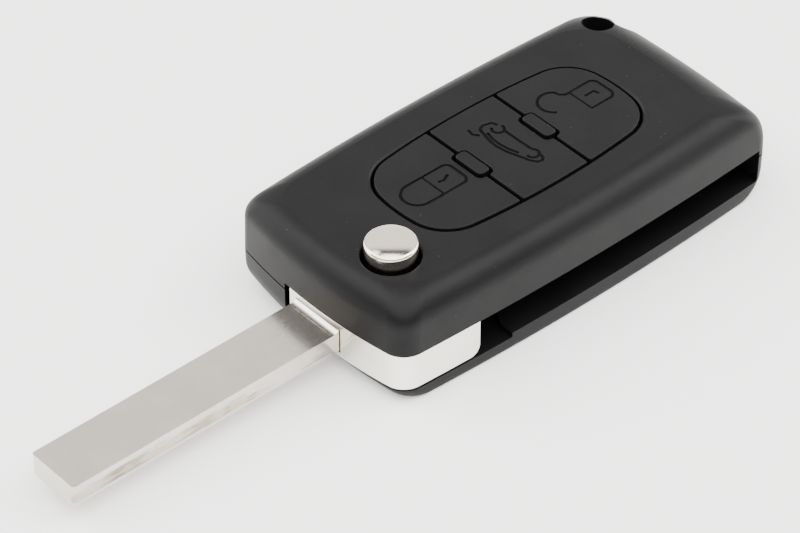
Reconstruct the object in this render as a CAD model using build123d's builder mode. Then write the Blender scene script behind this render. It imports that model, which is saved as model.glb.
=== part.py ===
from build123d import *
import os
from math import copysign, cos, radians, sin, sqrt

# A folding key shell: a case in two halves with three keys, a release button, and a blade on a head
# that turns about the button's axis. Millimetres. The origin is on the underside, on that axis. The
# blade points along +X when it is out, swings through the +Y side and folds into the slot there.

# Case, driving sizes
case_length = 75.3
case_width = 38.1
case_height = 17.7
pivot_to_front = 9.0
pivot_to_slot_side = 12.0
front_bow = 1.8
back_bow = 0.8
side_bow = 1.15
parting_height = 7.6
mouth_height = 8.8
wall = 1.6
floor = 1.5
divider = 1.2
shadow_gap = 0.25
shadow_depth = 0.5
wall_draft = 0.02
edge_steps = 9
edge_crown = 0.02
corner_ease = 0.6
least_round = 0.6
least_inner_round = 0.3
straight_steps = 3

# Rounding of the case's edges, seen from the side, and of its corners, seen from above
upper_edge = {"front_far": 4.0, "front_slot": 4.0, "back": 8.0, "far": 4.0, "slot": 4.0}
lower_edge = {"front_far": 5.4, "front_slot": 2.9, "back": 4.4, "far": 4.9, "slot": 0.5}
corner_round = {"front_far": 2.6, "front_slot": 3.8, "back_slot": 2.6, "back_far": 5.5}

# Keyring hole
ring_hole = 5.0
ring_hole_from_back = 7.15
ring_hole_from_far = 6.3
ring_wall = 1.3
ring_groove = 6.0
ring_groove_depth = 2.2
ring_groove_shift = 0.5
ring_groove_lean = 37

# Head, blade and their chamber and slot
deck_height = 2.2
slot_floor_height = 3.0
head_inset = 0.25
head_gap = 0.2
head_back = 6.9
head_far = 12.5
head_block_back = 1.6
head_lower_round = 1.8
head_bevel = 0.3
chamber_gap = 0.5
slot_side_gap = 0.9
slot_end_gap = 7.0
slot_step = 12.9
slot_step_from_pivot = 6.0
blade_width = 9.3
blade_thickness = 3.8
blade_reach = 56.4
blade_low = 3.3
blade_from_pivot = 1.35
blade_sink = 1.2
blade_shoulder = 0.4
blade_ramp = 1.3
blade_ramp_radius = 1.75
blade_edge = 0.5
groove_depth = 0.7
groove_from_head = 9.0
groove_ramp = 11.0
groove_lip = 0.8
groove_width = 1.9
tang_length = 7.0
tang_width = 4.6
tang_inset = 0.75
blade_fit = 0.06
shoulder_gap = 0.15
pin_diameter = 1.6
pin_length = 5.0
pin_clearance = 0.03
pin_chamfer = 0.12

# Button, spindle and spring
button_diameter = 7.9
button_hole = 8.85
button_rise = 2.3
button_crown = 0.75
button_rim_round = 0.35
button_edge = 0.55
button_travel = 2.0
spindle_key = 5.0
spindle_diameter = 4.8
running_fit = 0.05
journal = 10.0
journal_height = 2.2
tube_wall = 1.6
spindle_gap = 0.3
spring_wire = 0.6
spring_diameter = 6.8
spring_turns = 3
spring_room = 9.4
spring_room_height = 4.85
guide_diameter = 3.1
guide_overlap = 2.0
clip_width = 1.9
clip_groove = 0.4
clip_opening = 2.4
clip_thickness = 0.45
cup_diameter = 9.0
cup_thickness = 1.05
washer_inner = 10.4
washer_outer = 14.2
washer_thickness = 0.2

# Keys and what holds them
keypad_x = -28.7
keypad_y = -6.8
keypad_half_length = 22.0
keypad_half_width = 10.8
keypad_end_bow = 1.55
keypad_side_bow = 1.5
keypad_corner = 7.2
keypad_rim = 0.25
key_gap = 0.45
key_split = 6.6
split_gap = 0.6
key_thickness = 1.8
key_travel = 0.5
key_edge = 0.3
key_rim = 0.25
key_notch_round = 0.8
island_width = 2.1
island_length = 5.7
island_offset = -0.5
island_gap = 0.45
island_round = 0.7
island_rise = 0.3
bridge_width = 2.2
bridge_gap = 0.5
collar_wall = 1.2
mat_thickness = 1.0
mat_margin = 2.2
pad_inset = 1.7
frame_thickness = 1.4
frame_gap = 0.5
window_inset = 2.2
stake_diameter = 1.7
stake_apart = 24.0
stake_across = 25.2
stake_ear = 2.0
seat_gap = 0.05

# Snap hooks that hold the halves together
hook_length = 2.9
hook_root = 2.0
hook_width = 5.0
hook_thickness = 1.0
hook_nib = 0.4
hook_nib_height = 0.7
hook_x = (-15.0, -45.0)
hook_y = -9.5

# Cell well and contacts
cell_diameter = 16.0
cell_x = -41.0
cell_y = -12.4
cell_wall = 1.0
cell_wall_height = 2.2
contact_thickness = 0.25
contact_width = 3.0
contact_reach = 4.0
contact_rise = 0.9
contact_leaf = 3.6
contact_gap = 0.5

# Places that follow from the driving sizes
front_x = pivot_to_front
back_x = pivot_to_front - case_length
slot_y = pivot_to_slot_side
far_y = pivot_to_slot_side - case_width
plate_low = case_height - wall
head_face = front_x - head_inset
head_low = deck_height + washer_thickness + seat_gap
head_top = mouth_height - head_gap
blade_side = -blade_from_pivot
blade_far = blade_side - blade_width
blade_root = head_face - blade_sink
blade_top = blade_low + blade_thickness
spring_room_top = head_low + spring_room_height
tang_y = blade_far + tang_inset + tang_width / 2
pin_x = blade_root - tang_length / 2
chamber = sqrt(head_face**2 + head_far**2) + chamber_gap
divider_y = blade_from_pivot - slot_side_gap
slot_end_x = -blade_reach - slot_end_gap
ring_x = back_x + ring_hole_from_back
ring_y = far_y + ring_hole_from_far
ceiling_top = mouth_height + divider
frame_low = ceiling_top + frame_gap
mat_low = frame_low + frame_thickness + seat_gap
collar_low = mat_low + mat_thickness + seat_gap
key_low = case_height - key_thickness
bridge_top = key_low - key_travel - bridge_gap
crown_radius = ((button_diameter / 2) ** 2 + button_crown**2) / (2 * button_crown)
journal_top = head_top + journal_height
button_top = case_height + button_rise
button_low = journal_top + button_travel + spindle_gap
clip_top = spring_room_top - seat_gap
spring_base = deck_height + seat_gap
spindle_low = deck_height + button_travel + spindle_gap
tube_diameter = button_hole + 2 * tube_wall
hook_inset = wall + seat_gap + wall_draft * hook_length
leaf_x = cell_x + cell_diameter / 2 + seat_gap
wall_zone = 4 * wall
over_all = 4 * case_width
through = 4 * case_height
lean = radians(ring_groove_lean)
groove_reach = upper_edge["back"] + ring_groove - ring_groove_depth
groove_x = back_x + upper_edge["back"] - groove_reach * cos(lean)
groove_height = case_height - upper_edge["back"] + groove_reach * sin(lean)
groove_plane = Plane((groove_x, ring_y - ring_groove_shift, groove_height), z_dir=(sin(lean), 0, cos(lean)))


def rounding(depth, radius):
    """How far a rounded edge draws a wall in at this depth from the face."""
    if depth >= radius:
        return 0.0
    return radius - sqrt(radius**2 - (radius - depth) ** 2)


def case_plan(edge, depth, inset):
    """The case seen from above: a bowed rectangle with round corners."""
    drawn = {side: inset + rounding(depth, radius) for side, radius in edge.items()}
    front_far = Vector(front_x - front_bow - drawn["front_far"], far_y + side_bow + drawn["far"])
    front_slot = Vector(front_x - front_bow - drawn["front_slot"], slot_y - side_bow - drawn["slot"])
    back_slot = Vector(back_x + back_bow + drawn["back"], slot_y - side_bow - drawn["slot"])
    back_far = Vector(back_x + back_bow + drawn["back"], far_y + side_bow + drawn["far"])
    corners = {"front_far": front_far, "front_slot": front_slot,
               "back_slot": back_slot, "back_far": back_far}
    with BuildSketch() as plan:
        with BuildLine():
            ThreePointArc(front_far, (front_far + front_slot) / 2 + Vector(front_bow, 0), front_slot)
            ThreePointArc(front_slot, (front_slot + back_slot) / 2 + Vector(0, side_bow), back_slot)
            ThreePointArc(back_slot, (back_slot + back_far) / 2 - Vector(back_bow, 0), back_far)
            ThreePointArc(back_far, (back_far + front_far) / 2 - Vector(0, side_bow), front_far)
        make_face()
        for corner, place in corners.items():
            eased = corner_ease * rounding(depth, edge["far" if corner.endswith("far") else "slot"])
            radius = max(corner_round[corner] - inset + eased, least_round)
            fillet(plan.vertices().sort_by_distance(place)[0], radius)
    return plan.sketch


def case_block(edge, face_height, inset=0.0):
    """A half of the case as one solid, lofted from its parting plane to its face.

    Its sections lie close together where the edges are round, at equal steps round the largest edge.
    """
    largest = max(edge.values())
    reach = face_height - parting_height
    deepest = abs(reach) + edge_crown
    straight = deepest - largest
    depths = [deepest - straight * step / straight_steps for step in range(straight_steps)]
    depths += [largest * (1 - cos(radians(90 * step / edge_steps))) for step in range(edge_steps, 0, -1)]
    depths += [edge_crown]
    with BuildPart() as block:
        for depth in depths:
            height = face_height - copysign(depth - edge_crown, reach)
            draft = wall_draft * abs(height - parting_height)
            with BuildSketch(Plane.XY.offset(height)):
                add(case_plan(edge, depth, inset + draft))
        loft()
    return block.part


def inner_edge(edge):
    """The same edges, rounded as the inside of the wall is."""
    return {side: max(radius - wall, least_inner_round) for side, radius in edge.items()}


def keypad_oval(offset_by=0.0):
    """The keys' common outline, grown or shrunk: an oval drawn as a bowed rectangle with wide corners."""
    half_length = keypad_half_length + offset_by
    half_width = keypad_half_width + offset_by
    corner_x = half_length - keypad_end_bow
    corner_y = half_width - keypad_side_bow
    with BuildSketch() as oval:
        with BuildLine():
            ThreePointArc((-corner_x, corner_y), (0, half_width), (corner_x, corner_y))
            ThreePointArc((corner_x, corner_y), (half_length, 0), (corner_x, -corner_y))
            ThreePointArc((corner_x, -corner_y), (0, -half_width), (-corner_x, -corner_y))
            ThreePointArc((-corner_x, -corner_y), (-half_length, 0), (-corner_x, corner_y))
        make_face()
        fillet(oval.vertices(), keypad_corner + offset_by)
    return oval.sketch.moved(Location((keypad_x, keypad_y, 0)))


def save(piece, name):
    """Labels a finished piece and writes it."""
    piece.label = name
    export_step(piece, f"parts/{name}.step")


def slot_plan():
    """The head's chamber and the blade's slot seen from above, open on the slot side."""
    with BuildSketch() as plan:
        Circle(chamber)
        with Locations((slot_end_x, divider_y)):
            Rectangle(-slot_end_x, over_all, align=(Align.MIN, Align.MIN))
    return plan.sketch


def slot_side_plan():
    """All that lies on the slot's side of the divider, with the divider itself."""
    with BuildSketch() as plan:
        Circle(chamber + divider)
        with Locations((0, divider_y - divider)):
            Rectangle(over_all, over_all, align=(Align.MAX, Align.MIN))
    return plan.sketch


def hook_plan(outer_inset, inner_inset):
    """A strip beside the case's wall, kept only at the snap hooks."""
    with BuildSketch() as plan:
        add(case_plan(upper_edge, case_height, outer_inset))
        add(case_plan(upper_edge, case_height, inner_inset), mode=Mode.SUBTRACT)
        with BuildSketch(mode=Mode.INTERSECT):
            for x in hook_x:
                with Locations((x, far_y)):
                    Rectangle(hook_width, wall_zone)
            with Locations((back_x, hook_y)):
                Rectangle(wall_zone, hook_width)
    return plan.sketch


def key_plan(low_x, high_x, inset=0.0):
    """One key seen from above: its share of the oval, clear of the islands."""
    with BuildSketch() as plan:
        add(keypad_oval(-key_gap - inset))
        with Locations(((low_x + high_x) / 2, keypad_y)):
            Rectangle(high_x - low_x - 2 * inset, over_all, mode=Mode.INTERSECT)
        around = 2 * (island_gap + inset)
        with Locations(*island_places):
            RectangleRounded(island_width + around, island_length + around, key_notch_round, mode=Mode.SUBTRACT)
        sides = (low_x + inset, high_x - inset)
        fillet([v for v in plan.vertices() if min(abs(v.X - side) for side in sides) < 0.01], key_edge)
    return plan.sketch


os.makedirs("parts", exist_ok=True)

# Where the keys, their islands and the frame's stakes stand
front_split = keypad_x + key_split
back_split = keypad_x - key_split
island_places = [(front_split, keypad_y + island_offset), (back_split, keypad_y + island_offset)]
key_spans = {
    "lock_key": (front_split + split_gap / 2, front_split + keypad_half_length),
    "boot_key": (back_split + split_gap / 2, front_split - split_gap / 2),
    "unlock_key": (back_split - keypad_half_length, back_split - split_gap / 2),
}

# Rear shell: the space for the electronics, then the shell around it
with BuildPart() as rear_well:
    add(case_block(inner_edge(lower_edge), floor, wall))
    with BuildSketch():
        add(slot_side_plan())
        with Locations((ring_x, ring_y)):
            Circle(ring_hole / 2 + ring_wall)
            Rectangle(over_all, ring_hole + 2 * ring_wall, align=(Align.MAX, Align.CENTER))
    extrude(amount=through, mode=Mode.SUBTRACT)
    with BuildSketch(Plane.XY.offset(floor)):
        with Locations((cell_x, cell_y)):
            Circle(cell_diameter / 2 + seat_gap + cell_wall)
            Circle(cell_diameter / 2 + seat_gap, mode=Mode.SUBTRACT)
            Rectangle(over_all, contact_width + 2 * contact_gap, mode=Mode.SUBTRACT)
    extrude(amount=cell_wall_height, mode=Mode.SUBTRACT)

with BuildPart() as rear_shell:
    add(case_block(lower_edge, 0))
    add(rear_well.part, mode=Mode.SUBTRACT)
    with BuildSketch(Plane.XY.offset(slot_floor_height)):
        add(slot_plan())
    extrude(amount=through, mode=Mode.SUBTRACT)
    with BuildSketch(Plane.XY.offset(deck_height)):
        Circle(chamber)
        with Locations((-slot_step, slot_step_from_pivot)):
            Rectangle(slot_step, over_all, align=(Align.MIN, Align.MIN))
    extrude(amount=through, mode=Mode.SUBTRACT)
    with BuildSketch(Plane.XY.offset(deck_height)):
        Circle(cup_diameter / 2 + seat_gap)
    extrude(amount=-cup_thickness, mode=Mode.SUBTRACT)
    with BuildSketch():
        with Locations((ring_x, ring_y)):
            Circle(ring_hole / 2)
    extrude(amount=through, mode=Mode.SUBTRACT)
    with BuildSketch(Plane.XY.offset(parting_height - hook_length - seat_gap)):
        add(hook_plan(hook_inset - hook_nib - seat_gap, hook_inset + hook_thickness))
    extrude(amount=hook_nib_height + 2 * seat_gap, mode=Mode.SUBTRACT)
save(rear_shell.part, "rear_shell")

# Front shell: its hollow is shaped round the ceiling of the slot, the button's tube, the collar round
# the keys, the stakes of the frame and the column of the keyring hole
with BuildPart() as front_well:
    add(case_block(inner_edge(upper_edge), plate_low, wall))
    with BuildSketch(Plane.XY.offset(parting_height)):
        add(slot_side_plan())
    extrude(amount=ceiling_top - parting_height, mode=Mode.SUBTRACT)
    with BuildSketch(Plane.XY.offset(parting_height)):
        Circle(tube_diameter / 2)
        with Locations((ring_x, ring_y)):
            Circle(ring_hole / 2 + ring_wall)
            Rectangle(over_all, ring_hole + 2 * ring_wall, align=(Align.MAX, Align.CENTER))
    extrude(amount=through, mode=Mode.SUBTRACT)
    with BuildSketch(Plane.XY.offset(collar_low)):
        add(keypad_oval(collar_wall))
    extrude(amount=through, mode=Mode.SUBTRACT)
    with BuildSketch(Plane.XY.offset(frame_low - seat_gap)):
        with Locations((keypad_x, keypad_y)):
            with GridLocations(stake_apart, stake_across, 2, 2):
                Circle(stake_diameter / 2)
    extrude(amount=through, mode=Mode.SUBTRACT)

with BuildPart() as front_shell:
    add(case_block(upper_edge, case_height))
    with BuildSketch(groove_plane):
        Circle(ring_groove)
    extrude(amount=case_height, both=True, mode=Mode.SUBTRACT)
    add(front_well.part, mode=Mode.SUBTRACT)
    with BuildSketch(Plane.XY.offset(parting_height)):
        add(slot_plan())
    extrude(amount=mouth_height - parting_height, mode=Mode.SUBTRACT)
    with BuildSketch(Plane.XY.offset(parting_height)):
        add(case_plan(upper_edge, case_height, -1))
        add(case_plan(upper_edge, case_height, shadow_depth), mode=Mode.SUBTRACT)
    extrude(amount=shadow_gap, mode=Mode.SUBTRACT)
    with BuildSketch(Plane.XY.offset(mouth_height)):
        Circle(journal / 2)
    extrude(amount=journal_top + running_fit - mouth_height, mode=Mode.SUBTRACT)
    with BuildSketch(Plane.XY.offset(mouth_height)):
        Circle(button_hole / 2)
        with Locations((ring_x, ring_y)):
            Circle(ring_hole / 2)
    extrude(amount=through, mode=Mode.SUBTRACT)
    with BuildSketch(Plane.XY.offset(parting_height)):
        with Locations((ring_x, ring_y)):
            Circle(ring_hole / 2)
    extrude(amount=through, mode=Mode.SUBTRACT)
    with BuildSketch(Plane.XY.offset(collar_low)):
        add(keypad_oval())
    extrude(amount=through, mode=Mode.SUBTRACT)
    with BuildSketch(Plane.XY.offset(case_height - keypad_rim)):
        add(keypad_oval())
    with BuildSketch(Plane.XY.offset(case_height + keypad_rim)):
        add(keypad_oval(2 * keypad_rim))
    loft(mode=Mode.SUBTRACT)
    with BuildSketch(Plane.XY.offset(collar_low)):
        with Locations((front_split, keypad_y), (back_split, keypad_y)):
            Rectangle(bridge_width, 2 * keypad_half_width + collar_wall)
    extrude(amount=bridge_top - collar_low)
    with BuildSketch(Plane.XY.offset(collar_low)):
        with Locations(*island_places):
            RectangleRounded(island_width, island_length, island_round)
    extrude(amount=case_height + island_rise - collar_low)
    chamfer(front_shell.edges().group_by(Axis.Z)[-1], key_edge / 2)
    with BuildSketch(Plane.XZ):
        with Locations((button_hole / 2, case_height - button_rim_round)):
            Rectangle(button_rim_round, button_rim_round + button_rise, align=(Align.MIN, Align.MIN))
        with Locations((button_hole / 2 + button_rim_round, case_height - button_rim_round)):
            Circle(button_rim_round, mode=Mode.SUBTRACT)
    revolve(axis=Axis.Z, mode=Mode.SUBTRACT)
    with BuildSketch(Plane.XY.offset(parting_height - hook_length)):
        add(hook_plan(hook_inset, hook_inset + hook_thickness))
    extrude(amount=hook_length + hook_root)
    with BuildSketch(Plane.XY.offset(parting_height + seat_gap)):
        add(hook_plan(wall - hook_nib, hook_inset + hook_thickness))
    extrude(amount=hook_root)
    with BuildSketch(Plane.XY.offset(parting_height - hook_length)):
        add(hook_plan(hook_inset - hook_nib, hook_inset + hook_thickness))
    extrude(amount=hook_nib_height)
save(front_shell.part, "front_shell")

# Keys, and the mat and frame under them
for name, span in key_spans.items():
    with BuildPart() as key:
        with BuildSketch(Plane.XY.offset(key_low)):
            add(key_plan(*span))
        extrude(amount=key_thickness)
        fillet(key.edges().group_by(Axis.Z)[-1], key_rim)
    save(key.part, name)

with BuildPart() as keypad_mat:
    with BuildSketch(Plane.XY.offset(mat_low)):
        add(keypad_oval(mat_margin))
        Circle(tube_diameter / 2 + key_gap, mode=Mode.SUBTRACT)
        with Locations((keypad_x, keypad_y)):
            with GridLocations(stake_apart, stake_across, 2, 2):
                Circle(stake_diameter / 2 + key_gap, mode=Mode.SUBTRACT)
    extrude(amount=mat_thickness)
    with BuildSketch(Plane.XY.offset(mat_low)):
        for span in key_spans.values():
            add(key_plan(*span, pad_inset))
    extrude(amount=key_low - seat_gap - mat_low)
save(keypad_mat.part, "keypad_mat")

with BuildPart() as keypad_frame:
    with BuildSketch(Plane.XY.offset(frame_low)):
        add(keypad_oval(mat_margin))
        with Locations((keypad_x, keypad_y)):
            with GridLocations(stake_apart, stake_across, 2, 2):
                Circle(stake_ear)
                Circle(stake_diameter / 2 + seat_gap, mode=Mode.SUBTRACT)
        Circle(tube_diameter / 2 + key_gap, mode=Mode.SUBTRACT)
        for span in key_spans.values():
            add(key_plan(*span, window_inset), mode=Mode.SUBTRACT)
    extrude(amount=frame_thickness)
save(keypad_frame.part, "keypad_frame")

# Head: a hub with a block for the blade, under the case's own outline
with BuildPart() as flip_head:
    with BuildSketch(Plane.XY.offset(head_low)):
        with Locations((-head_block_back, -head_far)):
            Rectangle(over_all, over_all, align=(Align.MIN, Align.MIN))
        with Locations((-head_back, 0)):
            Rectangle(over_all, over_all, align=(Align.MIN, Align.MIN))
        Circle(head_back)
        add(case_plan(upper_edge, case_height, head_inset), mode=Mode.INTERSECT)
    extrude(amount=head_top - head_low)
    chamfer(flip_head.edges().filter_by(Axis.Z).sort_by_distance((head_face, -head_far, head_top))[0], head_bevel)
    with BuildSketch(Plane.XY.offset(head_top)):
        Circle(journal / 2 - running_fit)
    extrude(amount=journal_height)
    with BuildSketch(Plane.XZ):
        with Locations((-head_back, head_low)):
            Rectangle(head_lower_round, head_lower_round, align=(Align.MIN, Align.MIN))
        with Locations((-head_back + head_lower_round, head_low + head_lower_round)):
            Circle(head_lower_round, mode=Mode.SUBTRACT)
    extrude(amount=-over_all, mode=Mode.SUBTRACT)
    with BuildSketch(Plane.XY.offset(head_low)):
        Circle(spring_room / 2)
    extrude(amount=spring_room_height, mode=Mode.SUBTRACT)
    with BuildSketch(Plane.XY.offset(head_low)):
        RegularPolygon(spindle_key / 2 + running_fit, 6, major_radius=False)
    extrude(amount=through, mode=Mode.SUBTRACT)
    with BuildSketch(Plane.YZ.offset(blade_root - blade_fit)):
        with Locations((blade_side + shoulder_gap, blade_low - blade_fit)):
            Rectangle(blade_width + 2 * shoulder_gap, blade_thickness + blade_shoulder + blade_fit + shoulder_gap,
                      align=(Align.MAX, Align.MIN))
    extrude(amount=over_all, mode=Mode.SUBTRACT)
    with BuildSketch(Plane.YZ.offset(blade_root - tang_length - blade_fit)):
        with Locations((tang_y, blade_low - blade_fit)):
            Rectangle(tang_width + 2 * blade_fit, blade_thickness + 2 * blade_fit, align=(Align.CENTER, Align.MIN))
    extrude(amount=over_all, mode=Mode.SUBTRACT)
    with BuildSketch(Plane.XY.offset(head_low)):
        with Locations((pin_x, tang_y)):
            Circle(pin_diameter / 2 + pin_clearance)
    extrude(amount=pin_length + 2 * seat_gap, mode=Mode.SUBTRACT)
save(flip_head.part, "flip_head")

# Blade: its side view with the shoulder at the head, then the tang, the pin's hole and the side groove
with BuildPart() as key_blade:
    with BuildSketch(Plane.XZ.offset(-blade_side)):
        with BuildLine():
            tip = Polyline((blade_root, blade_low), (blade_reach, blade_low), (blade_reach, blade_top),
                           (head_face + blade_ramp, blade_top))
            ramp = RadiusArc(tip @ 1, (head_face, blade_top + blade_shoulder), blade_ramp_radius)
            Polyline(ramp @ 1, (blade_root, blade_top + blade_shoulder), (blade_root, blade_low))
        make_face()
    extrude(amount=blade_width)
    long_edges = key_blade.edges().filter_by(Axis.X).group_by(Axis.Z)[0]
    tip_edges = key_blade.edges().group_by(Axis.X)[-1].filter_by(Axis.Z)
    fillet(long_edges + tip_edges, blade_edge)
    with BuildSketch(Plane.YZ.offset(blade_root - tang_length)):
        with Locations((tang_y, blade_low)):
            Rectangle(tang_width, blade_thickness, align=(Align.CENTER, Align.MIN))
    extrude(amount=tang_length)
    with BuildSketch(Plane.XY.offset(head_low)):
        with Locations((pin_x, tang_y)):
            Circle(pin_diameter / 2 + pin_clearance)
    extrude(amount=through, mode=Mode.SUBTRACT)
    groove_start = head_face + groove_from_head
    with BuildSketch(Plane.XY.offset(blade_low + groove_lip)):
        with BuildLine():
            Polyline((groove_start, blade_side + seat_gap), (over_all, blade_side + seat_gap),
                     (over_all, blade_side - groove_depth), (groove_start + groove_ramp, blade_side - groove_depth),
                     (groove_start, blade_side + seat_gap))
        make_face()
    extrude(amount=groove_width, mode=Mode.SUBTRACT)
save(key_blade.part, "key_blade")

with BuildPart() as blade_pin:
    with BuildSketch(Plane.XY.offset(head_low + seat_gap)):
        with Locations((pin_x, tang_y)):
            Circle(pin_diameter / 2)
    extrude(amount=pin_length)
    chamfer(blade_pin.edges().filter_by(GeomType.CIRCLE), pin_chamfer)
save(blade_pin.part, "blade_pin")

# Release button: a domed cap on a six-sided spindle that slides in the head
with BuildPart() as release_button:
    with BuildSketch(Plane.XZ) as cap:
        with BuildLine():
            Polyline((0, button_top + button_crown), (0, button_low), (button_diameter / 2, button_low),
                     (button_diameter / 2, button_top))
            RadiusArc((button_diameter / 2, button_top), (0, button_top + button_crown), -crown_radius)
        make_face()
        fillet(cap.vertices().sort_by_distance((button_diameter / 2, button_top))[0], button_edge)
    revolve(axis=Axis.Z)
    with BuildSketch(Plane.XY.offset(clip_top)):
        RegularPolygon(spindle_key / 2, 6, major_radius=False)
    extrude(amount=button_low - clip_top)
    with BuildSketch(Plane.XY.offset(spindle_low)):
        Circle(spindle_diameter / 2)
    extrude(amount=clip_top - spindle_low)
    with BuildSketch(Plane.XY.offset(clip_top)):
        Circle(over_all)
        Circle(spindle_diameter / 2 - clip_groove, mode=Mode.SUBTRACT)
    extrude(amount=-clip_thickness - seat_gap, mode=Mode.SUBTRACT)
    with BuildSketch(Plane.XY.offset(spindle_low)):
        Circle(guide_diameter / 2 + running_fit)
    extrude(amount=guide_overlap + button_travel + spindle_gap, mode=Mode.SUBTRACT)
save(release_button.part, "release_button")

with BuildPart() as spindle_clip:
    with BuildSketch(Plane.XY.offset(clip_top)):
        Circle(spindle_diameter / 2 - clip_groove + clip_width)
        Circle(spindle_diameter / 2 - clip_groove, mode=Mode.SUBTRACT)
        Rectangle(over_all, clip_opening, align=(Align.MIN, Align.CENTER), mode=Mode.SUBTRACT)
    extrude(amount=-clip_thickness)
save(spindle_clip.part, "spindle_clip")

# Spring, with the cup that it stands on and the washer under the head
with BuildPart() as flip_spring:
    coil_low = spring_base + spring_wire / 2
    coil_height = clip_top - clip_thickness - seat_gap - spring_wire / 2 - coil_low
    with BuildLine():
        coil = Helix(coil_height / spring_turns, coil_height, spring_diameter / 2, center=(0, 0, coil_low))
    with BuildSketch(Plane(coil @ 0, z_dir=coil % 0)):
        Circle(spring_wire / 2)
    sweep()
save(flip_spring.part, "flip_spring")

with BuildPart() as spring_cup:
    with BuildSketch(Plane.XY.offset(deck_height)):
        Circle(cup_diameter / 2)
    extrude(amount=-cup_thickness)
    with BuildSketch(Plane.XY.offset(deck_height)):
        Circle(guide_diameter / 2)
    extrude(amount=spindle_low + guide_overlap - deck_height)
    chamfer(spring_cup.edges().group_by(Axis.Z)[-1], key_edge)
save(spring_cup.part, "spring_cup")

with BuildPart() as thrust_washer:
    with BuildSketch(Plane.XY.offset(deck_height)):
        Circle(washer_outer / 2)
        Circle(washer_inner / 2, mode=Mode.SUBTRACT)
    extrude(amount=washer_thickness)
save(thrust_washer.part, "thrust_washer")

# Contacts of the cell: a strip with a raised tongue under it, and a leaf that stands at its side
with BuildPart() as negative_contact:
    with BuildSketch(Plane.XZ.offset(-cell_y - contact_width / 2)):
        with BuildLine():
            Polyline((cell_x - cell_diameter / 2 - contact_reach, floor), (cell_x - contact_reach, floor),
                     (cell_x, floor + contact_rise), (cell_x + contact_rise, floor + contact_rise))
            offset(amount=contact_thickness, side=Side.LEFT)
        make_face()
    extrude(amount=contact_width)
save(negative_contact.part, "negative_contact")

with BuildPart() as positive_contact:
    with BuildSketch(Plane.XZ.offset(-cell_y - contact_width / 2)):
        with BuildLine():
            Polyline((leaf_x + contact_reach, floor), (leaf_x, floor), (leaf_x, floor + contact_leaf))
            offset(amount=contact_thickness, side=Side.RIGHT)
        make_face()
    extrude(amount=contact_width)
save(positive_contact.part, "positive_contact")
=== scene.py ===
from math import cos, radians, sin

import bmesh
import bpy
from mathutils import Matrix, Vector


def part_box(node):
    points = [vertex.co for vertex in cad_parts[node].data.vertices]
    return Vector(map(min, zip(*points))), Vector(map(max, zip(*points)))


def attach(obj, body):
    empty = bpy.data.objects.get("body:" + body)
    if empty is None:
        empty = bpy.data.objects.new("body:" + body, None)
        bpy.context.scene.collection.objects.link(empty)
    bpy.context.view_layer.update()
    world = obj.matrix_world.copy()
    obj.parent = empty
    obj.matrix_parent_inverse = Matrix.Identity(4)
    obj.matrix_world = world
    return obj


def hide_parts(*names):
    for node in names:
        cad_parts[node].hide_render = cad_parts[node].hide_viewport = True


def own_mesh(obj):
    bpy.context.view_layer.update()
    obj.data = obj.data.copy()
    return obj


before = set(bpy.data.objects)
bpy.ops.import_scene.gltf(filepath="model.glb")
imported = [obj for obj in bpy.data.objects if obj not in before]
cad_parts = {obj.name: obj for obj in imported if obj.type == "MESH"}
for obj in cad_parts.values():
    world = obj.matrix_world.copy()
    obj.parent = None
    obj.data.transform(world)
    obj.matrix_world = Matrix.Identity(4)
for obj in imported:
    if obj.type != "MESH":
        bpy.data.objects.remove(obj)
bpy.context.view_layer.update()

# A folding key shell on a pale floor. Lengths are millimetres, turned to metres by MM, and angles
# are degrees.
MM = 0.001

# Camera, above the front corner with the slot: its direction and distance from the origin, and how
# far it is shifted to the right and up in its own plane
VIEW_AZIMUTH = 48.5
VIEW_ELEVATION = 41.0
VIEW_DISTANCE = 575.3 * MM
VIEW_RIGHT = 1.267 * MM
VIEW_UP = 11.65 * MM
LENS = 180.0
SENSOR = 36.0

# Every surface: the radius that sharp edges are softened to in the shading, and the two values that
# noise mostly stays between
SOFT_EDGE = 0.07
NOISE_START = 0.3
NOISE_END = 0.7

# Plastic: the strength of its shine, weaker in the marks as painted shade in their grooves, the
# tones of the black, the sizes of the clouds in its tone and in its gloss, and the depth of the
# first
PLASTIC_SPECULAR = 0.13
MARK_SPECULAR = 0.06
BLACK_TONES = ((0.0030, 0.0030, 0.0034), (0.0046, 0.0046, 0.0050))
TONE_CLOUD = 9.0
GLOSS_CLOUD = 3.5
CLOUD_DEPTH = 0.005

# Dust on the plastic: the size of a cell that can hold one grain, the grain's size and colour, and
# the random values of a cell below which it holds one and above which it doesn't
DUST_CELL = 1.3
DUST_SIZE = 0.055
DUST_COLOUR = (0.16, 0.16, 0.16)
DUST_CHOICE = (0.35, 0.36)

# Metal: the size of the clouds in its tone, and their depth as a multiple of its grain's
METAL_CLOUD = 6.0
METAL_CLOUD_DEPTH = 2.0

# Painted dark reflection in the blade's groove, in long streaks: the heights that they lie between,
# the place along the blade where they end, the width of these soft limits, their size and how they
# are drawn out along the blade, the values of their noise at which they begin and are full, their
# colour and their strength
PAINTED_REFLECTION_LOW = 4.1
PAINTED_REFLECTION_HIGH = 6.2
PAINTED_REFLECTION_REACH = 56.1
PAINTED_REFLECTION_LIMIT = 0.15
PAINTED_REFLECTION_SIZE = 2.2
PAINTED_REFLECTION_ALONG = 0.3
PAINTED_REFLECTION_NOISE = (0.47, 0.62)
PAINTED_REFLECTION_COLOUR = (0.20, 0.18, 0.16)
PAINTED_REFLECTION_STRENGTH = 0.85

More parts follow.
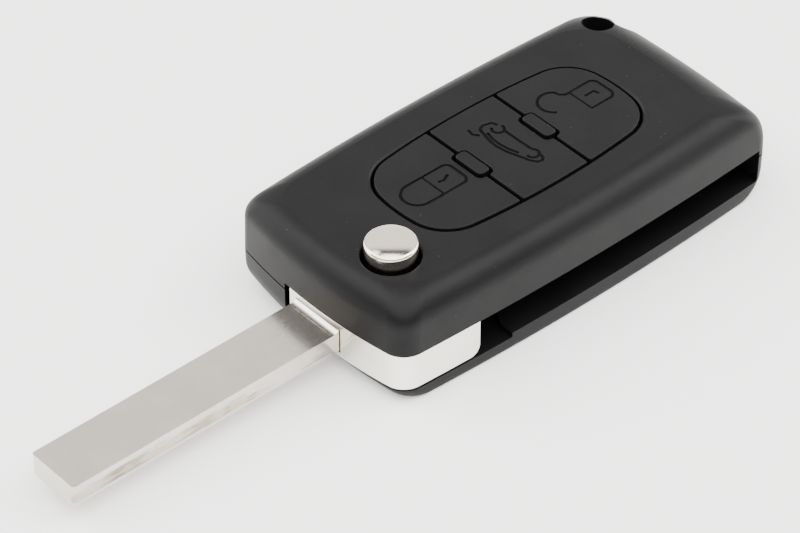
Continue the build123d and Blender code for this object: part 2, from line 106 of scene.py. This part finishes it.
# Marks cut into the keys: a line's width, how far the axis of its round cutter lies above the key,
# how finely the cutter is rounded, the side and the corner radius of a padlock's body, and the
# places of the two bodies' straight sides from the middle of the keys
MARK_WIDTH = 0.5
MARK_LIFT = -0.02
MARK_ROUNDNESS = 2
LOCK_SIZE = 4.9
LOCK_ROUND = 1.1
CLOSED_PLACE = (14.2, -0.53)
OPEN_PLACE = (-15.2, -0.75)

# The thickness of the mat's sheet, and how far the block that parts the pads from the sheet stands
# out beyond the mat
MAT_SHEET = 1.0
BLOCK_MARGIN = 1.0

# Keyring corner of the upper shell: its top and its parting line, the corner of its outline there,
# the slope of its two sides, the rounding of its upper edges, the corner's own radius and the share
# of that rounding which widens it, the draft of the walls, and how far the outline reaches inside
CASE_TOP = 17.7
PARTING = 7.6
CORNER = (-65.88, -25.23)
SIDE_SLOPE = 0.045
BACK_ROUND = 8.0
FAR_ROUND = 4.0
CORNER_ROUND = 5.5
CORNER_WIDENING = 0.6
WALL_DRAFT = 0.02
CORNER_REACH = 22.0
CORNER_STEPS = 24

# Keyring hole and the leaning groove down the corner, each with a place on its axis, the depth that
# the groove is filled by, and how far to its side the shallower groove lies
RING_HOLE = (-59.15, -19.8, 10.0)
RING_RADIUS = 2.5
GROOVE_PLACE = (-67.72, -20.3, 16.80)
GROOVE_LEAN = 37.0
GROOVE_RADIUS = 6.0
GROOVE_FILL = 0.95
GROOVE_SHIFT = 1.3

# The fill: its foot's height above the parting line, the gaps at its foot and top together, its
# levels, the angle from which its edges are sharp, and half the length and the sides of a rod
FILL_FOOT = 0.05
FILL_GAPS = 0.06
FILL_LEVELS = 40
FILL_SHARP = 35.0
ROD_REACH = 40.0
ROD_STEPS = 144

# White tent round the object. Each pair holds two cosines of the angle from a direction, between
# which one strength of light turns into another.
TENT_LIGHT = 4.5
TENT_TINT = (1.0, 0.985, 0.96, 1.0)

# Softer light about a direction behind the object
BACK_ELEVATION = 35.0
BACK_COSINES = (0.70, 0.92)
BACK_LIGHT = 1.75

# Dark band round another direction behind the object, with its inner and its outer edge, and the
# tent outside it, overhead and in front. Both lights are multiples of the tent's.
BAND_ELEVATION = 30.0
BAND_INNER = (0.785, 0.88)
BAND_OUTER = (0.72, 0.735)
BAND_LIGHT = 0.04
OVERHEAD_LIGHT = 1.3

# Dark opening for the camera, about its direction and away from straight up
OPENING_COSINES = (-0.15, 0.25)
OPENING_TOP = (0.45, 0.75)
OPENING_DARKNESS = 0.93

# Square lamps: azimuth and elevation of each, and the distance, side and watts of both
LAMPS = {"left": (150.0, 55.0), "right": (-72.0, 54.0)}
LAMP_DISTANCE = 900.0 * MM
LAMP_SIZE = 400.0 * MM
LAMP_POWER = 1.5

# Floor: half its side, its colour, its own faint light, its roughness and the size of the clouds in
# that
FLOOR_HALF = 3000.0 * MM
FLOOR_COLOUR = (0.90, 0.90, 0.90, 1.0)
FLOOR_GLOW = 0.3
FLOOR_ROUGHNESS = (0.5, 0.6)
FLOOR_CLOUD = 30.0


# Nodes of materials and of the world

def feed(tree, value, socket):
    """Gives a socket another node's output, a colour without its alpha, or a number."""
    if isinstance(value, bpy.types.NodeSocket):
        tree.links.new(value, socket)
    elif isinstance(value, tuple):
        socket.default_value = (*value, 1.0)
    else:
        socket.default_value = value


def drawn_out(tree, place, along):
    """The coordinates scaled along X, where a scale below 1 makes a pattern longer."""
    mapping = tree.nodes.new("ShaderNodeMapping")
    mapping.inputs["Scale"].default_value = (along, 1.0, 1.0)
    tree.links.new(place, mapping.inputs["Vector"])
    return mapping.outputs["Vector"]


def noise(tree, place, size, detail=2.0):
    """Noise whose blotches are about size millimetres across."""
    node = tree.nodes.new("ShaderNodeTexNoise")
    node.inputs["Scale"].default_value = 1.0 / (size * MM)
    node.inputs["Detail"].default_value = detail
    tree.links.new(place, node.inputs["Vector"])
    return node.outputs["Fac"]


def spread(tree, value, low, high, start=NOISE_START, end=NOISE_END, curve="LINEAR"):
    """The value's range from start to end, spread over low to high."""
    node = tree.nodes.new("ShaderNodeMapRange")
    node.interpolation_type = curve
    limits = {"From Min": start, "From Max": end, "To Min": low, "To Max": high}
    for name, limit in limits.items():
        node.inputs[name].default_value = limit
    tree.links.new(value, node.inputs["Value"])
    return node.outputs["Result"]


def between(tree, value, first, second):
    """A colour between the two."""
    node = tree.nodes.new("ShaderNodeMix")
    node.data_type = "RGBA"
    feed(tree, first, node.inputs["A"])
    feed(tree, second, node.inputs["B"])
    tree.links.new(value, node.inputs["Factor"])
    return node.outputs["Result"]


def maths(tree, operation, first, second):
    """The outcome of one operation on two values."""
    node = tree.nodes.new("ShaderNodeMath")
    node.operation = operation
    feed(tree, first, node.inputs[0])
    feed(tree, second, node.inputs[1])
    return node.outputs[0]


def product(tree, value, *factors):
    """The value times each factor in turn."""
    for factor in factors:
        value = maths(tree, "MULTIPLY", value, factor)
    return value


# Materials

def new_material(name):
    """A material with its node tree, its shader and the coordinates of the object it is on."""
    material = bpy.data.materials.new(name)
    material.use_nodes = True
    tree = material.node_tree
    place = tree.nodes.new("ShaderNodeTexCoord").outputs["Object"]
    return material, tree, tree.nodes["Principled BSDF"], place


def relief(tree, shader, layers):
    """Bump from (height output, depth) layers, one on the other, over softened edges."""
    soft = tree.nodes.new("ShaderNodeBevel")
    soft.inputs["Radius"].default_value = SOFT_EDGE * MM
    normal = soft.outputs["Normal"]
    for height, depth in layers:
        node = tree.nodes.new("ShaderNodeBump")
        node.inputs["Distance"].default_value = depth * MM
        tree.links.new(height, node.inputs["Height"])
        tree.links.new(normal, node.inputs["Normal"])
        normal = node.outputs["Normal"]
    tree.links.new(normal, shader.inputs["Normal"])


def dust(tree, place):
    """1 on a few small grains strewn over the surface, and 0 between them."""
    cells = tree.nodes.new("ShaderNodeTexVoronoi")
    cells.inputs["Scale"].default_value = 1.0 / (DUST_CELL * MM)
    tree.links.new(place, cells.inputs["Vector"])
    channels = tree.nodes.new("ShaderNodeSeparateColor")
    tree.links.new(cells.outputs["Color"], channels.inputs[0])
    size = DUST_SIZE / DUST_CELL
    grain = spread(tree, cells.outputs["Distance"], 1.0, 0.0, size / 2, size)
    chosen = spread(tree, channels.outputs[0], 1.0, 0.0, *DUST_CHOICE)
    return product(tree, grain, chosen)


def plastic(name, tones, roughness, grain, depth, specular=PLASTIC_SPECULAR):
    """Moulded plastic: a finely eroded face with faint clouds in its tone and gloss, and dust."""
    material, tree, shader, place = new_material(name)
    shader.inputs["Specular IOR Level"].default_value = specular
    clouds = noise(tree, place, TONE_CLOUD, detail=4.0)
    fine = noise(tree, place, grain, detail=3.0)
    gloss = noise(tree, place, GLOSS_CLOUD, detail=5.0)
    body = between(tree, spread(tree, clouds, 0.0, 1.0), *tones)
    dusty = between(tree, dust(tree, place), body, DUST_COLOUR)
    tree.links.new(dusty, shader.inputs["Base Color"])
    tree.links.new(spread(tree, gloss, *roughness), shader.inputs["Roughness"])
    relief(tree, shader, [(clouds, CLOUD_DEPTH), (fine, depth)])
    return material


def metal(name, tones, roughness, grain, depth, along=1.0):
    """Metal with a fine grain, drawn out along the piece where along is below 1."""
    material, tree, shader, place = new_material(name)
    shader.inputs["Metallic"].default_value = 1.0
    lines = noise(tree, drawn_out(tree, place, along), grain, detail=4.0)
    clouds = noise(tree, place, METAL_CLOUD, detail=3.0)
    body = between(tree, spread(tree, clouds, 0.0, 1.0), *tones)
    tree.links.new(body, shader.inputs["Base Color"])
    tree.links.new(spread(tree, lines, *roughness), shader.inputs["Roughness"])
    relief(tree, shader, [(clouds, depth * METAL_CLOUD_DEPTH), (lines, depth)])
    return material


def paint_dark_reflection(material):
    """Paints dark reflection into a metal in long streaks, between two heights of its object and up
    to a length.
    """
    tree = material.node_tree
    colour = tree.nodes["Principled BSDF"].inputs["Base Color"]
    place = tree.nodes.new("ShaderNodeTexCoord").outputs["Object"]
    axes = tree.nodes.new("ShaderNodeSeparateXYZ")
    tree.links.new(place, axes.inputs[0])
    height, length = axes.outputs["Z"], axes.outputs["X"]
    above = spread(tree, height, 0.0, 1.0, PAINTED_REFLECTION_LOW * MM, (PAINTED_REFLECTION_LOW + PAINTED_REFLECTION_LIMIT) * MM)
    below = spread(tree, height, 1.0, 0.0, (PAINTED_REFLECTION_HIGH - PAINTED_REFLECTION_LIMIT) * MM, PAINTED_REFLECTION_HIGH * MM)
    before = spread(tree, length, 1.0, 0.0, (PAINTED_REFLECTION_REACH - PAINTED_REFLECTION_LIMIT) * MM, PAINTED_REFLECTION_REACH * MM)
    streaks = noise(tree, drawn_out(tree, place, PAINTED_REFLECTION_ALONG), PAINTED_REFLECTION_SIZE, detail=5.0)
    strength = spread(tree, streaks, 0.0, PAINTED_REFLECTION_STRENGTH, *PAINTED_REFLECTION_NOISE)
    factor = product(tree, strength, above, below, before)
    plain_colour = colour.links[0].from_socket
    tree.links.new(between(tree, factor, plain_colour, PAINTED_REFLECTION_COLOUR), colour)


def paint(piece, material):
    """One material on the whole piece."""
    piece.data.materials.clear()
    piece.data.materials.append(material)


# Each material has its darkest and lightest tone, its lowest and highest roughness, and the size
# and depth of its grain
shell_black = plastic("shell_black", BLACK_TONES, roughness=(0.42, 0.45), grain=0.20, depth=0.024)
key_black = plastic("key_black", BLACK_TONES, roughness=(0.44, 0.47), grain=0.18, depth=0.020)
# The marks' black is darker than the keys' and shines less: painted shade in the cut lines
mark_painted_shade = plastic("mark_painted_shade", ((0.0012, 0.0012, 0.0013), (0.0020, 0.0020, 0.0021)),
                     roughness=(0.45, 0.60), grain=0.20, depth=0.008, specular=MARK_SPECULAR)
mat_rubber = plastic("mat_rubber", ((0.012, 0.012, 0.013), (0.018, 0.018, 0.019)),
                     roughness=(0.55, 0.7), grain=0.2, depth=0.006)
frame_plastic = plastic("frame_plastic", ((0.03, 0.03, 0.032), (0.04, 0.04, 0.042)),
                        roughness=(0.45, 0.6), grain=0.3, depth=0.008)
head_chrome = metal("head_chrome", ((0.88, 0.83, 0.75), (0.93, 0.89, 0.82)),
                    roughness=(0.07, 0.13), grain=0.5, depth=0.0006)
button_chrome = metal("button_chrome", ((0.82, 0.745, 0.65), (0.88, 0.81, 0.72)),
                      roughness=(0.08, 0.13), grain=0.3, depth=0.0006)
blade_nickel = metal("blade_nickel", ((0.58, 0.54, 0.48), (0.64, 0.60, 0.54)),
                     roughness=(0.14, 0.24), grain=0.35, depth=0.0008, along=0.6)
# The dark reflection in the blade's groove is painted into the blade's colour
paint_dark_reflection(blade_nickel)
spring_steel = metal("spring_steel", ((0.42, 0.42, 0.43), (0.52, 0.52, 0.53)),
                     roughness=(0.25, 0.4), grain=0.2, depth=0.002)
cup_steel = metal("cup_steel", ((0.55, 0.55, 0.55), (0.62, 0.62, 0.62)),
                  roughness=(0.25, 0.4), grain=0.3, depth=0.002)
contact_nickel = metal("contact_nickel", ((0.66, 0.62, 0.52), (0.74, 0.70, 0.60)),
                       roughness=(0.2, 0.32), grain=0.3, depth=0.001)

NODE_MATERIALS = {
    "front_shell": shell_black, "rear_shell": shell_black,
    "lock_key": key_black, "boot_key": key_black, "unlock_key": key_black,
    "keypad_mat": mat_rubber, "keypad_frame": frame_plastic,
    "flip_head": head_chrome, "key_blade": blade_nickel, "blade_pin": spring_steel,
    "release_button": button_chrome, "spindle_clip": spring_steel, "flip_spring": spring_steel,
    "spring_cup": cup_steel, "thrust_washer": cup_steel,
    "negative_contact": contact_nickel, "positive_contact": contact_nickel,
}
for node_name, node_material in NODE_MATERIALS.items():
    paint(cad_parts[node_name], node_material)


# Pieces, and how they are combined

def link(piece):
    """The piece, brought into the scene."""
    bpy.context.scene.collection.objects.link(piece)
    return piece


def node_copy(name, node):
    """A copy of a CAD node, in its place."""
    return link(bpy.data.objects.new(name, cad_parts[node].data.copy()))


def final_mesh(piece):
    """The mesh of a curve or of a piece with a modifier."""
    bpy.context.view_layer.update()
    graph = bpy.context.evaluated_depsgraph_get()
    return bpy.data.meshes.new_from_object(piece.evaluated_get(graph))


def solid(name, rings):
    """A closed mesh through rings of points with a flat face at each end."""
    count = len(rings[0])
    points = [Vector(point) * MM for ring in rings for point in ring]
    faces = [tuple(range(count))[::-1], tuple(range(len(points) - count, len(points)))]
    for level in range(len(rings) - 1):
        low, high = level * count, (level + 1) * count
        for index in range(count):
            after = (index + 1) % count
            faces.append((low + index, low + after, high + after, high + index))
    mesh = bpy.data.meshes.new(name)
    mesh.from_pydata(points, [], faces)
    shape = bmesh.new()
    shape.from_mesh(mesh)
    bmesh.ops.recalc_face_normals(shape, faces=shape.faces)
    shape.to_mesh(mesh)
    shape.free()
    return link(bpy.data.objects.new(name, mesh))


def combine(piece, other, operation, marks=False):
    """One boolean, applied, after which the other piece is gone.

    Marks may cross themselves, and their material stays on the faces that they cut."""
    step = piece.modifiers.new("step", "BOOLEAN")
    step.operation = operation
    step.solver = "EXACT"
    step.object = other
    if marks:
        step.use_self = True
        step.material_mode = "TRANSFER"
    piece.data = final_mesh(piece)
    piece.modifiers.clear()
    bpy.data.objects.remove(other)


# Marks on the keys: each line is a list of points from the middle of the keys, x and y

def arc(middle, radius, start, end, steps=10):
    """Points on a circle from one angle to another."""
    angles = [radians(start + (end - start) * step / steps) for step in range(steps + 1)]
    return [(middle[0] + radius * cos(angle), middle[1] + radius * sin(angle)) for angle in angles]


def padlock_body(x, y):
    """A square body with its straight side at x, and two round corners towards the case's back."""
    half = LOCK_SIZE / 2
    bend = half - LOCK_ROUND
    back = x - (LOCK_SIZE - LOCK_ROUND)
    corners = (arc((back, y + bend), LOCK_ROUND, 90, 180)
               + arc((back, y - bend), LOCK_ROUND, 180, 270))
    return [(x, y - half), (x, y + half)] + corners + [(x, y - half)]


def closed_padlock(x, y):
    """Body towards the case's back, shackle towards its front."""
    half = LOCK_SIZE / 2
    bow = [(x, y - half)] + arc((x + 3.0, y), half, -90, 90, 16) + [(x, y + half)]
    keyhole = [(x - 1.1, y - 0.1), (x - 2.0, y + 0.15), (x - 3.3, y - 0.45)]
    return [padlock_body(x, y), bow, keyhole]


def open_padlock(x, y):
    """The same with its shackle swung clear of the body at one end."""
    half = LOCK_SIZE / 2
    neck = [(x, y - half + 0.1), (x + 0.8, y - half - 0.05), (x + 1.5, y - half - 0.65)]
    bow = arc((x + 3.4, y - half + 0.15), 2.35, -140, 62, 18)
    keyhole = [(x - 1.2, y - 0.3), (x - 3.0, y - 0.3), (x - 3.2, y + 0.6)]
    return [padlock_body(x, y), neck + bow, keyhole]


def open_car():
    """A car seen from its side with the boot lid up, its roof towards the case's front."""
    rear_wheel = arc((-1.55, -3.85), 0.95, -60, 195, 14)
    front_wheel = arc((-1.55, 3.65), 0.95, -15, 240, 14)
    lower = [(-2.0, -2.9), (-2.0, 0.3), (-2.1, 2.7)]
    rear = [(-2.1, -4.6), (-1.8, -5.5), (-0.5, -5.9), (0.5, -5.6)]
    roof = [(0.5, -5.6), (0.9, -4.0), (1.25, -2.6), (1.36, -1.0), (1.05, 0.9), (0.4, 2.8),
            (-0.05, 4.4), (-0.75, 5.5), (-1.5, 5.7), (-2.0, 5.3), (-2.2, 4.6)]
    window = [(0.25, -4.2), (0.62, -2.7), (0.66, -1.0), (0.42, 0.6), (-0.1, 2.2)]
    lid = [(1.9, -6.6), (2.15, -5.4), (1.5, -4.5)]
    return [rear_wheel, front_wheel, lower, rear, roof, window, lid]


def tubes(name, lines, middle, height):
    """Round cutters along the lines, as one mesh. Their middle and height are metres."""
    curve = bpy.data.curves.new(name, "CURVE")
    curve.dimensions = "3D"
    curve.bevel_depth = MARK_WIDTH / 2 * MM
    curve.bevel_resolution = MARK_ROUNDNESS
    curve.use_fill_caps = True
    # The cutters carry the marks' painted shade to the faces that they cut
    curve.materials.append(mark_painted_shade)
    for line in lines:
        spline = curve.splines.new("POLY")
        closed = line[0] == line[-1]
        points = line[:-1] if closed else line
        spline.points.add(len(points) - 1)
        spline.use_cyclic_u = closed
        for point, (x, y) in zip(spline.points, points):
            point.co = (middle[0] + x * MM, middle[1] + y * MM, height, 1.0)
    drawn = link(bpy.data.objects.new(name, curve))
    mesh = final_mesh(drawn)
    bpy.data.objects.remove(drawn)
    return link(bpy.data.objects.new(name, mesh))


def marked_key(node, lines, middle):
    """A copy of a key with the lines cut into its face, which replaces the key."""
    name = node.replace("_key", "_cap_marked")
    piece = node_copy(name, node)
    paint(piece, key_black)
    cutter = tubes(name + "_cutter", lines, middle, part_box(node)[1].z + MARK_LIFT * MM)
    combine(piece, cutter, "DIFFERENCE", marks=True)
    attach(piece, node.replace("_key", "_cap"))
    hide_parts(node)


keys_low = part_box("unlock_key")[0]
keys_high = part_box("lock_key")[1]
keys_middle = ((keys_low.x + keys_high.x) / 2, (keys_low.y + keys_high.y) / 2)
marked_key("lock_key", closed_padlock(*CLOSED_PLACE), keys_middle)
marked_key("unlock_key", open_padlock(*OPEN_PLACE), keys_middle)
marked_key("boot_key", open_car(), keys_middle)


# Mat under the keys: a sheet, and a pad for each key

def mat_part(name, low_x, high_x, operation):
    """A copy of the mat, combined with a block on its sheet between two places along the case."""
    piece = node_copy(name, "keypad_mat")
    low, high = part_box("keypad_mat")
    low_y, high_y = low.y / MM - BLOCK_MARGIN, high.y / MM + BLOCK_MARGIN
    sides = [(low_x, low_y), (high_x, low_y), (high_x, high_y), (low_x, high_y)]
    levels = (low.z / MM + MAT_SHEET, high.z / MM + BLOCK_MARGIN)
    block = solid(name + "_block", [[(x, y, level) for x, y in sides] for level in levels])
    combine(piece, block, operation)
    paint(piece, mat_rubber)
    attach(piece, "case")
    return piece


def mat():
    """The sheet, which replaces the mat, and a pad for each key."""
    low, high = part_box("keypad_mat")
    low_x, high_x = low.x / MM - BLOCK_MARGIN, high.x / MM + BLOCK_MARGIN
    sheet = mat_part("mat_sheet", low_x, high_x, "DIFFERENCE")
    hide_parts("keypad_mat")
    for key in ("lock", "boot", "unlock"):
        key_low, key_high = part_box(key + "_key")
        pad = mat_part(key + "_pad", key_low.x / MM, key_high.x / MM, "INTERSECT")
        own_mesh(pad)


mat()


# Spring under the release button

def pressed_spring():
    """A copy of the spring, attached to the case, which replaces the spring."""
    piece = node_copy("press_spring", "flip_spring")
    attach(piece, "case")
    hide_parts("flip_spring")
    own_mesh(piece)


pressed_spring()


# Keyring corner

def rounding(depth, radius):
    """How far a round upper edge draws in at a depth below the top."""
    up = max(radius - depth, 0.0)
    return radius - (radius * radius - up * up) ** 0.5


def corner_outline(height):
    """The corner's outline at a height, closed well inside the case."""
    depth = CASE_TOP - height
    draft = WALL_DRAFT * abs(height - PARTING)
    x = CORNER[0] + rounding(depth, BACK_ROUND) + draft
    y = CORNER[1] + rounding(depth, FAR_ROUND) + draft
    radius = CORNER_ROUND - draft + CORNER_WIDENING * rounding(depth, FAR_ROUND)
    bend = arc((x + radius, y + radius), radius, 180.0, 270.0, CORNER_STEPS)
    lean = SIDE_SLOPE * (CORNER_REACH - radius)
    inside = (x + CORNER_REACH, y + CORNER_REACH)
    return [(x - lean, inside[1])] + bend + [(inside[0], y - lean), inside]


def rod(name, place, lean, radius):
    """A round rod through a place, leaning from upright towards +X."""
    turn = Matrix.Rotation(radians(lean), 3, "Y")
    ring = arc((0.0, 0.0), radius, 0.0, 360.0, ROD_STEPS)[:-1]
    ends = (-ROD_REACH, ROD_REACH)
    return solid(name, [[Vector(place) + turn @ Vector((x, y, z)) for x, y in ring] for z in ends])


def ring_corner():
    """The part of the corner that fills its groove, round the hole, to the depth that is wanted."""
    rise = CASE_TOP - PARTING - FILL_GAPS
    turns = [sin(radians(90.0 * level / FILL_LEVELS)) for level in range(FILL_LEVELS + 1)]
    heights = [PARTING + FILL_FOOT + rise * turn for turn in turns]
    rings = [[(x, y, height) for x, y in corner_outline(height)] for height in heights]
    piece = solid("ring_corner", rings)
    outward = Vector((-cos(radians(GROOVE_LEAN)), 0.0, sin(radians(GROOVE_LEAN))))
    shallow = Vector(GROOVE_PLACE) + outward * GROOVE_FILL + Vector((0.0, GROOVE_SHIFT, 0.0))
    combine(piece, rod("groove", GROOVE_PLACE, GROOVE_LEAN, GROOVE_RADIUS), "INTERSECT")
    combine(piece, rod("shallow", shallow, GROOVE_LEAN, GROOVE_RADIUS), "DIFFERENCE")
    combine(piece, rod("hole", RING_HOLE, 0.0, RING_RADIUS), "DIFFERENCE")
    piece.data.shade_smooth()
    piece.data.set_sharp_from_angle(angle=radians(FILL_SHARP))
    paint(piece, shell_black)
    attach(piece, "case")


ring_corner()


# Floor, light and camera

def floor_plane():
    """A wide pale floor, with a faint unevenness in its gloss."""
    mesh = bpy.data.meshes.new("floor")
    low, high = -FLOOR_HALF, FLOOR_HALF
    corners = [(low, low, 0.0), (high, low, 0.0), (high, high, 0.0), (low, high, 0.0)]
    mesh.from_pydata(corners, [], [(0, 1, 2, 3)])
    material, tree, shader, place = new_material("floor_pale")
    shader.inputs["Base Color"].default_value = FLOOR_COLOUR
    shader.inputs["Emission Color"].default_value = (1.0, 1.0, 1.0, 1.0)
    shader.inputs["Emission Strength"].default_value = FLOOR_GLOW
    gloss = spread(tree, noise(tree, place, FLOOR_CLOUD), *FLOOR_ROUGHNESS)
    tree.links.new(gloss, shader.inputs["Roughness"])
    mesh.materials.append(material)
    link(bpy.data.objects.new("floor", mesh))


def toward(azimuth, elevation):
    """A direction from the origin, of length 1."""
    flat = cos(radians(elevation))
    return Vector((cos(radians(azimuth)) * flat, sin(radians(azimuth)) * flat,
                   sin(radians(elevation))))


def facing(tree, way, direction, cosines, low, high):
    """From low to high as the way that light comes from nears a direction."""
    dot = tree.nodes.new("ShaderNodeVectorMath")
    dot.operation = "DOT_PRODUCT"
    dot.inputs[1].default_value = direction
    tree.links.new(way, dot.inputs[0])
    return spread(tree, dot.outputs["Value"], low, high, *cosines, curve="SMOOTHSTEP")


def world_light():
    """A white tent with softer light and a dark band behind the object, and an opening in front."""
    world = bpy.data.worlds.new("studio")
    world.use_nodes = True
    tree = world.node_tree
    way = tree.nodes.new("ShaderNodeTexCoord").outputs["Generated"]
    back = toward(VIEW_AZIMUTH + 180.0, BACK_ELEVATION)
    band = toward(VIEW_AZIMUTH + 180.0, BAND_ELEVATION)
    soft = facing(tree, way, back, BACK_COSINES, TENT_LIGHT, BACK_LIGHT)
    inner = facing(tree, way, band, BAND_INNER, BAND_LIGHT, 1.0)
    outer = facing(tree, way, band, BAND_OUTER, OVERHEAD_LIGHT / BAND_LIGHT, 1.0)
    front = facing(tree, way, toward(VIEW_AZIMUTH, 0.0), OPENING_COSINES, 0.0, 1.0)
    low = facing(tree, way, Vector((0.0, 0.0, 1.0)), OPENING_TOP, 1.0, 0.0)
    opening = product(tree, front, low, OPENING_DARKNESS)
    light = product(tree, soft, inner, outer, maths(tree, "SUBTRACT", 1.0, opening))
    background = tree.nodes["Background"]
    background.inputs["Color"].default_value = TENT_TINT
    tree.links.new(light, background.inputs["Strength"])
    bpy.context.scene.world = world


def softbox(name, place):
    """A square lamp at a place, facing the origin."""
    lamp = bpy.data.lights.new(name, "AREA")
    lamp.shape = "SQUARE"
    lamp.size = LAMP_SIZE
    lamp.energy = LAMP_POWER
    lamp_object = link(bpy.data.objects.new(name, lamp))
    lamp_object.location = place
    lamp_object.rotation_euler = (-place).to_track_quat("-Z", "Y").to_euler()


def camera():
    """Aimed at the origin, and shifted sideways and up in its own plane."""
    azimuth = radians(VIEW_AZIMUTH)
    back = toward(VIEW_AZIMUTH, VIEW_ELEVATION)
    right = Vector((-sin(azimuth), cos(azimuth), 0.0))
    up = back.cross(right)
    place = right * VIEW_RIGHT + up * VIEW_UP + back * VIEW_DISTANCE
    data = bpy.data.cameras.new("camera")
    data.lens = LENS
    data.sensor_width = SENSOR
    view = link(bpy.data.objects.new("camera", data))
    view.matrix_world = Matrix.Translation(place) @ Matrix((right, up, back)).transposed().to_4x4()
    bpy.context.scene.camera = view


floor_plane()
world_light()
for lamp_name, lamp_way in LAMPS.items():
    softbox(lamp_name, toward(*lamp_way) * LAMP_DISTANCE)
camera()
